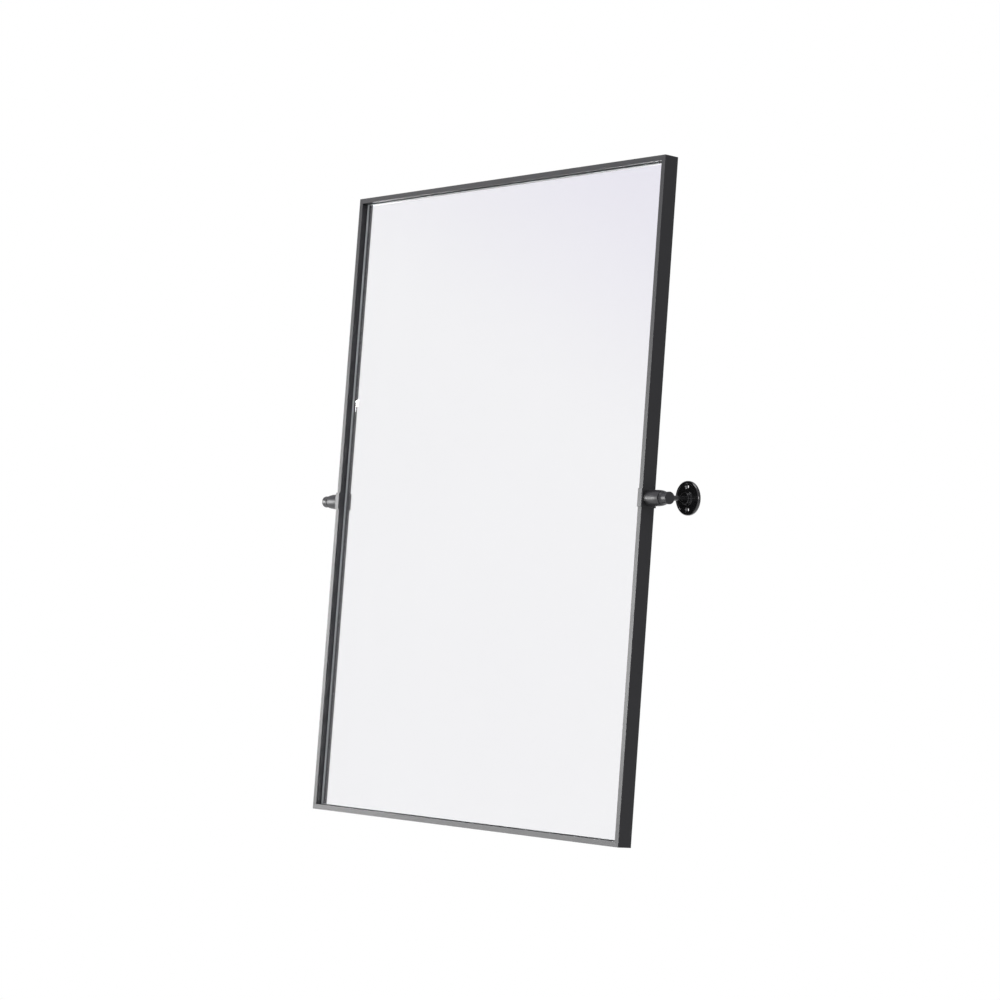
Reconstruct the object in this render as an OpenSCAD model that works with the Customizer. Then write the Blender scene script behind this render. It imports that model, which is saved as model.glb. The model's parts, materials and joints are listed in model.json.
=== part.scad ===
// Pivot wall mirror: a slim black metal tray frame that tilts between two wall brackets.
// Millimetres, +Z up, +Y into the wall. The origin lies on the wall plane,
// midway between the two wall rosettes and level with the pivot axis.

/* [Mirror frame] */
// Outside width of the frame
frame_w = 762; // [400:1:1000]
// Outside height of the frame
frame_h = 1016; // [500:1:1400]
// Depth of the frame, front to back
frame_d = 25; // [21:0.5:40]
// Width of the frame's front face
rail_w = 8; // [8:0.5:20]
// Wall of the frame's hollow section
wall_t = 1.4; // [1:0.1:1.5]
// Reach of the rear ledge past the rail's inner face
ledge_w = 10; // [8:0.5:16]
// Thickness of the rear ledge
ledge_t = 1.6; // [1.2:0.1:3]
// Hairline left between two mitred rails
mitre_gap = 0.1; // [0.05:0.05:0.5]
// Backward lean of the mirror as it is shown at rest, in degrees
rest_tilt = 5.5; // [0:0.5:5.5]

/* [Corner keys] */
// Length of each leg of a corner key
key_leg = 45; // [40:1:80]
// Distance from the frame's corner to a key screw
key_screw_at = 30; // [22:1:36]
// Diameter of a key screw's shank
key_screw_d = 3; // [2.5:0.1:3.4]
// Length of a key screw under its head
key_screw_len = 9; // [5:0.5:14]
// Diameter of a key screw's head
key_head_d = 6; // [5:0.5:7]
// Height of a key screw's head
key_head_h = 1.6; // [1:0.1:1.6]

/* [Mirror, backing and seals] */
// Thickness of the mirror glass
glass_t = 4; // [3:0.5:5]
// Gap beside the glass and the backing board
edge_gap = 2; // [0.5:0.1:2.5]
// Gap above the glass and the backing board
top_gap = 1; // [0.5:0.1:2.5]
// Thickness of the foam tape between glass and backing board
tape_t = 1; // [0.5:0.1:2]
// Width of a tape strip
tape_w = 20; // [10:1:50]
// Number of tape strips
tape_count = 5; // [2:1:8]
// Distance from the top and bottom of the board to the ends of a tape strip
tape_end = 40; // [10:1:120]
// Thickness of the backing board
board_t = 8; // [6:0.5:9]
// Thickness of the foam seal between backing board and ledge
seal_t = 1.4; // [0.8:0.1:2]
// Length of a setting block under the glass
block_len = 60; // [30:1:120]
// Thickness of a setting block, which is the gap under the glass
block_t = 1; // [0.5:0.1:2.5]
// Distance from the frame's centre to a setting block
block_at = 190; // [80:1:250]

/* [Backing screws] */
// Diameter of a backing screw's shank
back_screw_d = 3; // [2.5:0.1:3.4]
// Depth of a backing screw in the board
back_screw_bite = 4.5; // [3:0.5:5.2]
// Diameter of a backing screw's head
back_head_d = 6; // [4.5:0.1:6.4]
// Height of a backing screw's head
back_head_h = 1.8; // [1:0.1:2.5]
// Distance from the frame's corner to the first backing screw
back_screw_end = 90; // [60:1:140]
// Number of backing screws along the top and along the bottom
back_screws_across = 3; // [2:1:6]
// Number of backing screws up each side
back_screws_up = 4; // [2:2:8]

/* [Saddles and nut plates] */
// Sheet thickness of the saddle that wraps the stile
saddle_t = 2; // [1:0.25:3]
// Height of the saddle
saddle_h = 27; // [24:0.5:60]
// Outside radius of the saddle's bends
saddle_bend_r = 1.5; // [0.5:0.25:3]
// Thickness of the nut plate inside the stile
nut_plate_t = 4.4; // [3:0.2:4.6]
// Height of the nut plate
nut_plate_h = 40; // [20:1:80]
// Depth of the nut plate, front to back
nut_plate_d = 16; // [12:0.5:18]

/* [Pivots] */
// Diameter of the pivot stud
stud_d = 8; // [6:0.5:9]
// Diameter of the bracket head
head_d = 24; // [22:0.2:24.6]
// Diameter of the bracket head where it meets the clamp knob
head_tip_d = 22; // [21.6:0.2:23]
// Length of the bracket head
head_len = 28.4; // [24:0.1:40]
// Length of the head's straight stretch, from the saddle outwards
head_straight = 17; // [8:0.5:20]
// Thickness of the friction washer between saddle and head
washer_t = 1; // [0.5:0.1:2]
// Diameter of the friction washer
washer_d = 21.6; // [14:0.2:22.4]
// Thickness of the spring washer between head and clamp knob
spring_washer_t = 1.2; // [0.8:0.1:2]
// Diameter of the spring washer
spring_washer_d = 18; // [13:0.2:19]
// Diameter of the clamp knob at its inner end
knob_d = 21.6; // [20:0.2:22]
// Diameter of the clamp knob's waist
knob_waist_d = 18.2; // [16:0.2:18.4]
// Diameter of the clamp knob's outer end
knob_tip_d = 18.6; // [18.4:0.2:20]
// Length of the clamp knob
knob_len = 13.8; // [12:0.2:20]
// Distance from the knob's inner end to its waist
knob_waist_at = 6.6; // [3:0.2:8]
// Depth of the knob's blind bore
knob_bore = 9.6; // [6:0.2:10]

/* [Wall brackets] */
// Distance from the wall to the pivot axis
projection = 63.5; // [45:0.5:120]
// Distance from the bracket head's inner end to the post's axis
post_at = 15; // [9:0.1:17]
// Diameter of the post
post_d = 8; // [6:0.5:9]
// Distance from the pivot axis to the floor of the post's socket in the head
socket_floor = 5.6; // [5.4:0.1:7]
// Diameter of the wall rosette
rosette_d = 51; // [51:1:70]
// Thickness of the rosette at its rim
rosette_t = 4.5; // [2.6:0.1:4.8]
// Height of the hub above the wall
hub_h = 9.4; // [9.4:0.2:20]
// Diameter of the hub
hub_d = 18; // [15:0.2:20]
// Diameter of the step round the hub
step_d = 22; // [21:0.2:24]
// Height of the step round the hub, above the wall
step_h = 5; // [4.7:0.1:5]
// Distance between the two wall screw holes of a rosette
screw_spacing = 34; // [32:0.2:34.6]
// Diameter of a wall screw hole
screw_hole_d = 4.2; // [3.6:0.1:5]
// Diameter of a wall screw hole's countersink
screw_sink_d = 8.4; // [7:0.1:9]
// Diameter of the hub's set screw
set_screw_d = 3; // [2.5:0.5:3]

/* [Fits] */
// Gap between the saddle and the stile
saddle_fit = 0.1; // [0.05:0.05:0.3]
// Gap between two flat faces that turn against each other
face_gap = 0.1; // [0.05:0.05:0.3]
// Radial clearance between the pivot stud and each bore it runs in
pivot_fit = 0.05; // [0.02:0.01:0.1]
// Clearance round a piece seated in another one
seat_fit = 0.1; // [0.05:0.05:0.2]
// Radial clearance of a screw or stud in a plain hole
screw_fit = 0.2; // [0.1:0.05:0.4]

/* [Hidden] */
$fn = 64;

frame_black = "#2b2b2d";
gloss_black = "#161617";
zinc = "#9a9da1";
silvered = "#e8ebef";
board_brown = "#8a6a48";
foam_grey = "#6f7276";
rubber_black = "#1d1d1d";
nylon_white = "#d8d6cf";

// Extra length of a cutting shape past the faces that it cuts
cut_over = 1;
// Segments of a turned arc
arc_steps = 8;
// Edge breaks of the turned pieces
edge_break = 0.6;
post_chamfer = 0.5;
stud_chamfer = 0.8;
// Play left under a pin or screw in its blind hole
end_play = 0.3;
// Depth of a hexagon socket as a share of its screw's diameter
socket_share = 0.5;

// Depths, measured from the frame's middle plane, which holds the pivot axis
front_y = -frame_d / 2;
back_y = frame_d / 2;
seal_y = back_y - ledge_t - seal_t;
board_y = seal_y - board_t;
tape_y = board_y - tape_t;
glass_y = tape_y - glass_t;

// The opening inside the rails, and the glass and board that it holds
sight_w = frame_w - 2 * rail_w;
sight_h = frame_h - 2 * rail_w;
pane_w = sight_w - 2 * edge_gap;
pane_h = sight_h - top_gap - block_t;
pane_z = block_t - sight_h / 2;
// A backing screw's distance from the frame's outside, in the middle of what the ledge overlaps
back_screw_in = rail_w + (edge_gap + ledge_w) / 2;

// Stations along the pivot axis, from the middle of the mirror outwards
side_x = frame_w / 2;
saddle_x = side_x + saddle_fit + saddle_t;
head_x = saddle_x + washer_t + face_gap;
head_end_x = head_x + head_len;
spring_washer_x = head_end_x + face_gap;
knob_x = spring_washer_x + spring_washer_t + face_gap;
nut_plate_x = side_x - wall_t - seat_fit - nut_plate_t;
stud_start_x = nut_plate_x - end_play;
stud_end_x = knob_x + knob_bore - end_play;
post_x = head_x + post_at;

// Heights above the wall inside a rosette
rosette_rim_w = 3.4;
rosette_bevel = 1.2;
rosette_dish = 0.5;
hub_bore_floor = 1.8;
set_screw_h = (step_h + hub_h) / 2;

// Places a piece of the tilting mirror
module on_mirror() {
  translate([0, -projection, 0]) rotate([-rest_tilt, 0, 0]) children();
}

// Places a piece that stays with the wall, from the pivot axis
module on_pivot() {
  translate([0, -projection, 0]) children();
}

// The left-hand copy of a right-hand piece
module left_hand() {
  mirror([1, 0, 0]) children();
}

// A cylinder along +X from start to end
module rod_x(start, end, d) {
  translate([start, 0, 0]) rotate([0, 90, 0]) cylinder(d = d, h = end - start);
}

// A cylinder along +Y from start to end
module rod_y(start, end, d) {
  translate([0, start, 0]) rotate([-90, 0, 0]) cylinder(d = d, h = end - start);
}

// A profile of [radius, x] points turned about the X axis
module turned_x(points) {
  rotate([0, 90, 0]) rotate_extrude() polygon(points);
}

// A flat ring on the pivot axis
module ring_x(start, thickness, outer_d, inner_d) {
  difference() {
    rod_x(start, start + thickness, outer_d);
    rod_x(start - cut_over, start + thickness + cut_over, inner_d);
  }
}

// ---- Frame ----

// Section of a rail: u runs inwards from its outer face, v runs front to back
module rail_section() {
  difference() {
    translate([0, front_y]) square([rail_w, frame_d]);
    translate([wall_t, front_y + wall_t]) square([rail_w - 2 * wall_t, frame_d - 2 * wall_t]);
  }
  translate([rail_w - wall_t / 2, back_y - ledge_t]) square([ledge_w + wall_t / 2, ledge_t]);
}

// A mitred rail of a given outside length, lying along X with its outer face up at z = 0
module mitred_rail(length) {
  half = length / 2 - mitre_gap / 2;
  reach = rail_w + ledge_w;
  intersection() {
    translate([-length / 2, 0, 0]) rotate([90, 90, 90]) linear_extrude(length) rail_section();
    translate([0, front_y, 0]) rotate([-90, 0, 0]) linear_extrude(frame_d)
      polygon([[-half, 0], [half, 0], [half - reach, reach], [reach - half, reach]]);
  }
}

// Pilot and clearance holes along one rail for the backing screws
module ledge_holes(positions) {
  for (x = positions)
    translate([x, 0, -back_screw_in])
      rod_y(back_y - ledge_t - cut_over, back_y + cut_over, back_screw_d + 2 * screw_fit);
}

// Holes in a rail's rear wall for the key screws at both ends
module key_screw_holes(length) {
  for (side = [-1, 1])
    translate([side * (length / 2 - key_screw_at), 0, -rail_w / 2])
      rod_y(back_y - wall_t - cut_over, back_y + cut_over, key_screw_d + 2 * screw_fit);
}

function spread(length, count) =
  [for (i = [0 : count - 1]) (length / 2 - back_screw_end) * (2 * i / (count - 1) - 1)];

module cross_rail() {
  translate([0, 0, frame_h / 2]) difference() {
    mitred_rail(frame_w);
    ledge_holes(spread(frame_w, back_screws_across));
    key_screw_holes(frame_w);
  }
}

module stile() {
  difference() {
    rotate([0, 90, 0]) translate([0, 0, side_x]) difference() {
      mitred_rail(frame_h);
      ledge_holes(spread(frame_h, back_screws_up));
      key_screw_holes(frame_h);
    }
    rod_x(side_x - wall_t - cut_over, side_x + cut_over, stud_d + 2 * screw_fit);
  }
}

module frame_top_rail() {
  color(frame_black) on_mirror() cross_rail();
}

module frame_bottom_rail() {
  color(frame_black) on_mirror() mirror([0, 0, 1]) cross_rail();
}

module frame_right_stile() {
  color(frame_black) on_mirror() stile();
}

module frame_left_stile() {
  color(frame_black) on_mirror() left_hand() stile();
}

// ---- Corner keys ----

// The key of the top right corner: an angle that fills both rails' chambers
module corner_key() {
  key_w = rail_w - 2 * wall_t - 2 * seat_fit;
  key_d = frame_d - 2 * wall_t - 2 * seat_fit;
  inset = wall_t + seat_fit;
  difference() {
    translate([frame_w / 2 - inset, -key_d / 2, frame_h / 2 - inset]) union() {
      translate([-key_leg, 0, -key_w]) cube([key_leg, key_d, key_w]);
      translate([-key_w, 0, -key_leg]) cube([key_w, key_d, key_leg]);
    }
    at_key_screws() rod_y(back_y - key_screw_len - end_play, back_y, key_screw_d + 2 * pivot_fit);
  }
}

// Both screw places of the top right corner
module at_key_screws() {
  translate([frame_w / 2 - key_screw_at, 0, frame_h / 2 - rail_w / 2]) children();
  translate([frame_w / 2 - rail_w / 2, 0, frame_h / 2 - key_screw_at]) children();
}

// A pan-head screw along Y whose head seats at y = seat, with a hexagon socket
module pan_screw(seat, length, d, head_d, head_h) {
  difference() {
    union() {
      rod_y(seat - length, seat, d);
      rod_y(seat, seat + head_h, head_d);
    }
    translate([0, seat + head_h * socket_share, 0]) rotate([-90, 0, 0])
      cylinder(d = head_d * socket_share, h = head_h, $fn = 6);
  }
}

module corner_key_top_right() {
  color(zinc) on_mirror() corner_key();
}

module corner_key_top_left() {
  color(zinc) on_mirror() left_hand() corner_key();
}

module corner_key_bottom_right() {
  color(zinc) on_mirror() mirror([0, 0, 1]) corner_key();
}

module corner_key_bottom_left() {
  color(zinc) on_mirror() mirror([0, 0, 1]) left_hand() corner_key();
}

module corner_key_screws() {
  color(zinc) on_mirror()
    for (flip_x = [0, 1], flip_z = [0, 1])
      mirror([flip_x, 0, 0]) mirror([0, 0, flip_z]) at_key_screws()
        pan_screw(back_y, key_screw_len, key_screw_d, key_head_d, key_head_h);
}

// ---- Mirror, backing and seals ----

// A sheet as large as the glass, from depth y
module pane(y, thickness) {
  translate([-pane_w / 2, y, pane_z]) cube([pane_w, thickness, pane_h]);
}

// Every backing screw place
module at_back_screws() {
  for (x = spread(frame_w, back_screws_across), side = [-1, 1])
    translate([x, 0, side * (frame_h / 2 - back_screw_in)]) children();
  for (z = spread(frame_h, back_screws_up), side = [-1, 1])
    translate([side * (frame_w / 2 - back_screw_in), 0, z]) children();
}

module mirror_glass() {
  color(silvered) on_mirror() pane(glass_y, glass_t);
}

module mounting_tape() {
  pitch = pane_w / tape_count;
  color(foam_grey) on_mirror()
    for (i = [0 : tape_count - 1])
      translate([(i + 0.5) * pitch - pane_w / 2 - tape_w / 2, tape_y, pane_z + tape_end])
        cube([tape_w, tape_t, pane_h - 2 * tape_end]);
}

module backing_board() {
  color(board_brown) on_mirror() difference() {
    pane(board_y, board_t);
    at_back_screws()
      rod_y(seal_y - back_screw_bite - end_play, seal_y + cut_over, back_screw_d + 2 * pivot_fit);
  }
}

module ledge_seal() {
  inner_w = frame_w - 2 * (rail_w + ledge_w);
  inner_h = frame_h - 2 * (rail_w + ledge_w);
  color(foam_grey) on_mirror() difference() {
    pane(seal_y, seal_t);
    translate([-inner_w / 2, seal_y - cut_over, -inner_h / 2])
      cube([inner_w, seal_t + 2 * cut_over, inner_h]);
    at_back_screws() rod_y(seal_y - cut_over, back_y, back_screw_d + 2 * screw_fit);
  }
}

module backing_screws() {
  color(zinc) on_mirror() at_back_screws()
    pan_screw(back_y, ledge_t + seal_t + back_screw_bite, back_screw_d, back_head_d, back_head_h);
}

module setting_blocks() {
  color(rubber_black) on_mirror()
    for (side = [-1, 1])
      translate([side * block_at - block_len / 2, glass_y, -sight_h / 2])
        cube([block_len, seal_y - glass_y, block_t]);
}

// ---- Saddles and nut plates ----

// A rectangle with round corners, made of squares and circles
module round_square(size, r) {
  translate([r, 0]) square([size[0] - 2 * r, size[1]]);
  translate([0, r]) square([size[0], size[1] - 2 * r]);
  for (x = [r, size[0] - r], y = [r, size[1] - r]) translate([x, y]) circle(r = r);
}

// The saddle's plan: a U round the stile that is open towards the glass
module saddle_plan() {
  outer_d = frame_d + 2 * saddle_fit + 2 * saddle_t;
  intersection() {
    difference() {
      translate([side_x - 2 * rail_w, -outer_d / 2])
        round_square([saddle_x - side_x + 2 * rail_w, outer_d], saddle_bend_r);
      translate([side_x - 3 * rail_w, -frame_d / 2 - saddle_fit])
        square([3 * rail_w + saddle_fit, frame_d + 2 * saddle_fit]);
    }
    translate([side_x - rail_w, -outer_d]) square([2 * rail_w, 2 * outer_d]);
  }
}

module saddle() {
  difference() {
    translate([0, 0, -saddle_h / 2]) linear_extrude(saddle_h) saddle_plan();
    rod_x(side_x - cut_over, saddle_x + cut_over, stud_d + 2 * screw_fit);
  }
}

module right_saddle() {
  color(frame_black) on_mirror() saddle();
}

module left_saddle() {
  color(frame_black) on_mirror() left_hand() saddle();
}

module nut_plate() {
  difference() {
    translate([nut_plate_x, -nut_plate_d / 2, -nut_plate_h / 2])
      cube([nut_plate_t, nut_plate_d, nut_plate_h]);
    rod_x(nut_plate_x - cut_over, side_x, stud_d + 2 * pivot_fit);
  }
}

module right_nut_plate() {
  color(zinc) on_mirror() nut_plate();
}

module left_nut_plate() {
  color(zinc) on_mirror() left_hand() nut_plate();
}

// ---- Pivots ----

module pivot_stud() {
  r = stud_d / 2;
  turned_x([
    [0, stud_start_x], [r - stud_chamfer, stud_start_x], [r, stud_start_x + stud_chamfer],
    [r, stud_end_x - stud_chamfer], [r - stud_chamfer, stud_end_x], [0, stud_end_x]
  ]);
}

module right_pivot_stud() {
  color(zinc) on_mirror() pivot_stud();
}

module left_pivot_stud() {
  color(zinc) on_mirror() left_hand() pivot_stud();
}

module friction_washer() {
  ring_x(saddle_x, washer_t, washer_d, stud_d + 2 * screw_fit);
}

module right_friction_washer() {
  color(nylon_white) on_mirror() friction_washer();
}

module left_friction_washer() {
  color(nylon_white) on_mirror() left_hand() friction_washer();
}

module spring_washer() {
  ring_x(spring_washer_x, spring_washer_t, spring_washer_d, stud_d + 2 * screw_fit);
}

module right_spring_washer() {
  color(gloss_black) on_mirror() spring_washer();
}

module left_spring_washer() {
  color(gloss_black) on_mirror() left_hand() spring_washer();
}

// Points of an arc that leaves the straight stretch smoothly and ends at the tip
function head_arc() =
  let (run = head_len - head_straight, drop = (head_d - head_tip_d) / 2)
  [for (i = [1 : arc_steps]) let (s = i / arc_steps)
    [head_d / 2 - drop * s * s, head_x + head_straight + run * s]];

module bracket_head() {
  bore_r = stud_d / 2 + pivot_fit;
  difference() {
    turned_x(concat(
      [[bore_r, head_x], [head_d / 2 - edge_break, head_x], [head_d / 2, head_x + edge_break],
       [head_d / 2, head_x + head_straight]],
      head_arc(),
      [[bore_r, head_end_x]]
    ));
    translate([post_x, 0, 0]) rod_y(socket_floor, head_d, post_d + 2 * pivot_fit);
  }
}

module right_bracket_head() {
  color(frame_black) on_pivot() bracket_head();
}

module left_bracket_head() {
  color(frame_black) on_pivot() left_hand() bracket_head();
}

// Points of the knob's flank: a hollow curve down to the waist, then a slight flare
function knob_flank() =
  let (drop = (knob_d - knob_waist_d) / 2)
  [for (i = [0 : arc_steps]) let (s = i / arc_steps)
    [knob_d / 2 - drop * (1 - (1 - s) * (1 - s)), knob_x + knob_waist_at * s]];

module clamp_knob() {
  bore_r = stud_d / 2 + pivot_fit;
  turned_x(concat(
    [[bore_r, knob_x]],
    knob_flank(),
    [[knob_tip_d / 2, knob_x + knob_len - edge_break],
     [knob_tip_d / 2 - edge_break, knob_x + knob_len],
     [0, knob_x + knob_len], [0, knob_x + knob_bore], [bore_r, knob_x + knob_bore]]
  ));
}

module right_clamp_knob() {
  color(frame_black) on_mirror() clamp_knob();
}

module left_clamp_knob() {
  color(frame_black) on_mirror() left_hand() clamp_knob();
}

// ---- Wall brackets ----

module bracket_post() {
  start = socket_floor + end_play;
  end = projection - hub_bore_floor - end_play;
  r = post_d / 2;
  translate([post_x, 0, 0]) rotate([-90, 0, 0]) rotate_extrude() polygon([
    [0, start], [r - post_chamfer, start], [r, start + post_chamfer],
    [r, end - post_chamfer], [r - post_chamfer, end], [0, end]
  ]);
}

module right_bracket_post() {
  color(gloss_black) on_pivot() bracket_post();
}

module left_bracket_post() {
  color(gloss_black) on_pivot() left_hand() bracket_post();
}

// The turned rosette: [radius, height above the wall]
module rosette_body() {
  rim_r = rosette_d / 2;
  dish_h = rosette_t - rosette_dish;
  step_r = step_d / 2;
  hub_r = hub_d / 2;
  bore_r = post_d / 2 + pivot_fit;
  rotate([90, 0, 0]) rotate_extrude() polygon([
    [0, 0], [rim_r, 0], [rim_r, rosette_t - rosette_bevel], [rim_r - rosette_bevel, rosette_t],
    [rim_r - rosette_rim_w, rosette_t], [rim_r - rosette_rim_w - rosette_dish, dish_h],
    [step_r, dish_h], [step_r, step_h - edge_break], [step_r - edge_break, step_h],
    [hub_r, step_h], [hub_r, hub_h - edge_break], [hub_r - edge_break, hub_h],
    [bore_r, hub_h], [bore_r, hub_bore_floor], [0, hub_bore_floor]
  ]);
}

// A countersunk hole through the rosette along Y
module wall_screw_hole() {
  sink_depth = (screw_sink_d - screw_hole_d) / 2;
  dish_h = rosette_t - rosette_dish;
  rotate([90, 0, 0]) {
    translate([0, 0, -cut_over]) cylinder(d = screw_hole_d, h = rosette_t + 2 * cut_over);
    translate([0, 0, dish_h - sink_depth])
      cylinder(d1 = screw_hole_d, d2 = screw_sink_d, h = sink_depth);
    translate([0, 0, dish_h]) cylinder(d = screw_sink_d, h = cut_over);
  }
}

module wall_rosette() {
  translate([post_x, 0, 0]) difference() {
    rosette_body();
    for (side = [-1, 1]) translate([0, 0, side * screw_spacing / 2]) wall_screw_hole();
    translate([0, -set_screw_h, -hub_d]) cylinder(d = set_screw_d + 2 * pivot_fit, h = hub_d);
  }
}

module right_wall_rosette() {
  color(gloss_black) wall_rosette();
}

module left_wall_rosette() {
  color(gloss_black) left_hand() wall_rosette();
}

// The grub screw that holds the post in the hub, from below
module set_screw() {
  length = (hub_d - post_d) / 2 - 2 * seat_fit;
  translate([post_x, -set_screw_h, -hub_d / 2 + seat_fit]) difference() {
    cylinder(d = set_screw_d, h = length);
    translate([0, 0, -cut_over])
      cylinder(d = set_screw_d * socket_share, h = cut_over + length * socket_share, $fn = 6);
  }
}

module right_set_screw() {
  color(zinc) set_screw();
}

module left_set_screw() {
  color(zinc) left_hand() set_screw();
}

frame_top_rail();
frame_bottom_rail();
frame_left_stile();
frame_right_stile();
corner_key_top_left();
corner_key_top_right();
corner_key_bottom_left();
corner_key_bottom_right();
corner_key_screws();
mirror_glass();
mounting_tape();
backing_board();
ledge_seal();
backing_screws();
setting_blocks();
left_saddle();
right_saddle();
left_nut_plate();
right_nut_plate();
left_pivot_stud();
right_pivot_stud();
left_friction_washer();
right_friction_washer();
left_bracket_head();
right_bracket_head();
left_spring_washer();
right_spring_washer();
left_clamp_knob();
right_clamp_knob();
left_bracket_post();
right_bracket_post();
left_wall_rosette();
right_wall_rosette();
left_set_screw();
right_set_screw();
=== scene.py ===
import json
import math

import bmesh
import bpy
from mathutils import Matrix, Vector


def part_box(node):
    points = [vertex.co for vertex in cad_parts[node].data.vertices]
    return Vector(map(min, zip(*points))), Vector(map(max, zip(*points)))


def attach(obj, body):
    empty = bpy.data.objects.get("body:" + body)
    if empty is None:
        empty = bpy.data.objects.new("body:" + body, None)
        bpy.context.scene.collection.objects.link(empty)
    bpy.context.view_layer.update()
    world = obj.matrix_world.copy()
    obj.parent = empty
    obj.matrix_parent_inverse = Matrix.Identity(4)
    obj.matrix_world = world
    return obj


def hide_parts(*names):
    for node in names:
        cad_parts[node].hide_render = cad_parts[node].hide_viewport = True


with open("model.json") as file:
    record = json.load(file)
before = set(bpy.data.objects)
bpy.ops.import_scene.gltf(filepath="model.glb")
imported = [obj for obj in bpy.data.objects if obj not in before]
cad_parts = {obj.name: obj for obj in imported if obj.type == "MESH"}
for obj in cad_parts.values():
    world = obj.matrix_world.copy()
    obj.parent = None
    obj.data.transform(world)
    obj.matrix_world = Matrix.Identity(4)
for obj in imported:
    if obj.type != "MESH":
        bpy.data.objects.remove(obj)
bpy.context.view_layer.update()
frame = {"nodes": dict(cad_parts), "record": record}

mm = 0.001
sides = {"left": -1, "right": 1}

# The pivot axis and the mirror's backward lean, which turn an upright mirror into the one at rest
tiltJoint = next(joint for joint in frame["record"]["behaviour"]["joints"] if joint["name"] == "mirror_tilt")
pivot = Vector(tiltJoint["pos_m"])
leanDeg = 5.5
leaning = Matrix.Translation(pivot) @ Matrix.Rotation(math.radians(-leanDeg), 4, "X")

cameraView = {
    "azimuthDeg": 51.125,    # to the right of straight on
    "elevationDeg": -1.631,  # the camera looks up a little
    "rollDeg": -0.103,
    "fromPivot": (3.59, -2.8654, -0.0369),  # metres, from the middle of the pivot axis
    "lensMm": 105.85,
    "sensorMm": 36,
    "shiftY": -0.06,         # the photograph was cut out of a taller picture
    "farEnd": 200,
}

studio = {
    "floorBelowPivot": 1.5,     # a wall mirror's usual height, in metres
    "floorRadius": 4.5,
    "floorAlbedo": 0.55,
    "floorLift": 0.72,          # keeps the pale floor white but for the shadow
    "frontWhite": "#ffffff",    # the white side of the studio, which the mirror shows
    "cornerWhite": "#f4f2fa",   # where it falls off, towards its upper right
    "cornerLean": 0.8,          # how much of the fall-off runs sideways
    "cornerSpan": (-0.46, -0.33),
    "backGrey": "#c8c8ca",      # the open side behind the mirror, which the outer faces show
    "backSpan": (-0.1, 0.45),   # where the front turns into it, towards the wall
    "ambient": 0.62,
}

softboxes = {
    # name: (place from the pivot, point it faces, width, height, power in watts)
    "leftStripbox": ((-2.644, -1.418, 0.04), (0.0, 0.0, 0.0), 0.3, 1.1, 40.5),
    "rightStripbox": ((-1.533, -1.975, 0.0), (0.0, 0.0, 0.0), 0.3, 0.83, 31.8),
    "topSoftbox": ((0.8, -1.2, 2.6), (0.0, 0.0, 0.0), 1.4, 1.4, 30.0),
    "fillSoftbox": ((3.87, -3.22, 0.18), (-0.37, 0.0, -0.2), 1.2, 0.8, 26.0),
}


def toLinear(hexCode):
    channels = [int(hexCode[i:i + 2], 16) / 255 for i in (1, 3, 5)]
    linear = [c / 12.92 if c <= 0.04045 else ((c + 0.055) / 1.055) ** 2.4 for c in channels]
    return (*linear, 1.0)


def addNode(tree, kind, sockets=None, **settings):
    made = tree.nodes.new(kind)
    for name, value in settings.items():
        setattr(made, name, value)
    for name, value in (sockets or {}).items():
        socket = made.inputs[name]
        if isinstance(value, bpy.types.NodeSocket):
            tree.links.new(value, socket)
        else:
            socket.default_value = value
    return made


def link(obj):
    bpy.context.scene.collection.objects.link(obj)
    return obj


def makeCamera():
    data = bpy.data.cameras.new("photoCamera")
    data.sensor_width = cameraView["sensorMm"]
    data.lens = cameraView["lensMm"]
    data.shift_y = cameraView["shiftY"]
    data.clip_end = cameraView["farEnd"]
    camera = link(bpy.data.objects.new("photoCamera", data))
    turn = Matrix.Rotation(math.radians(cameraView["azimuthDeg"]), 4, "Z")
    tip = Matrix.Rotation(math.radians(90 - cameraView["elevationDeg"]), 4, "X")
    roll = Matrix.Rotation(math.radians(cameraView["rollDeg"]), 4, "Z")
    place = Matrix.Translation(pivot + Vector(cameraView["fromPivot"]))
    camera.matrix_world = place @ turn @ tip @ roll
    bpy.context.scene.camera = camera


def mirroredRays(tree, path):
    # 1 for what a reflection or a refraction sees, 0 for the rest
    return addNode(tree, "ShaderNodeMath",
                   {0: path.outputs["Is Glossy Ray"], 1: path.outputs["Is Transmission Ray"]},
                   operation="MAXIMUM").outputs[0]


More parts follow.
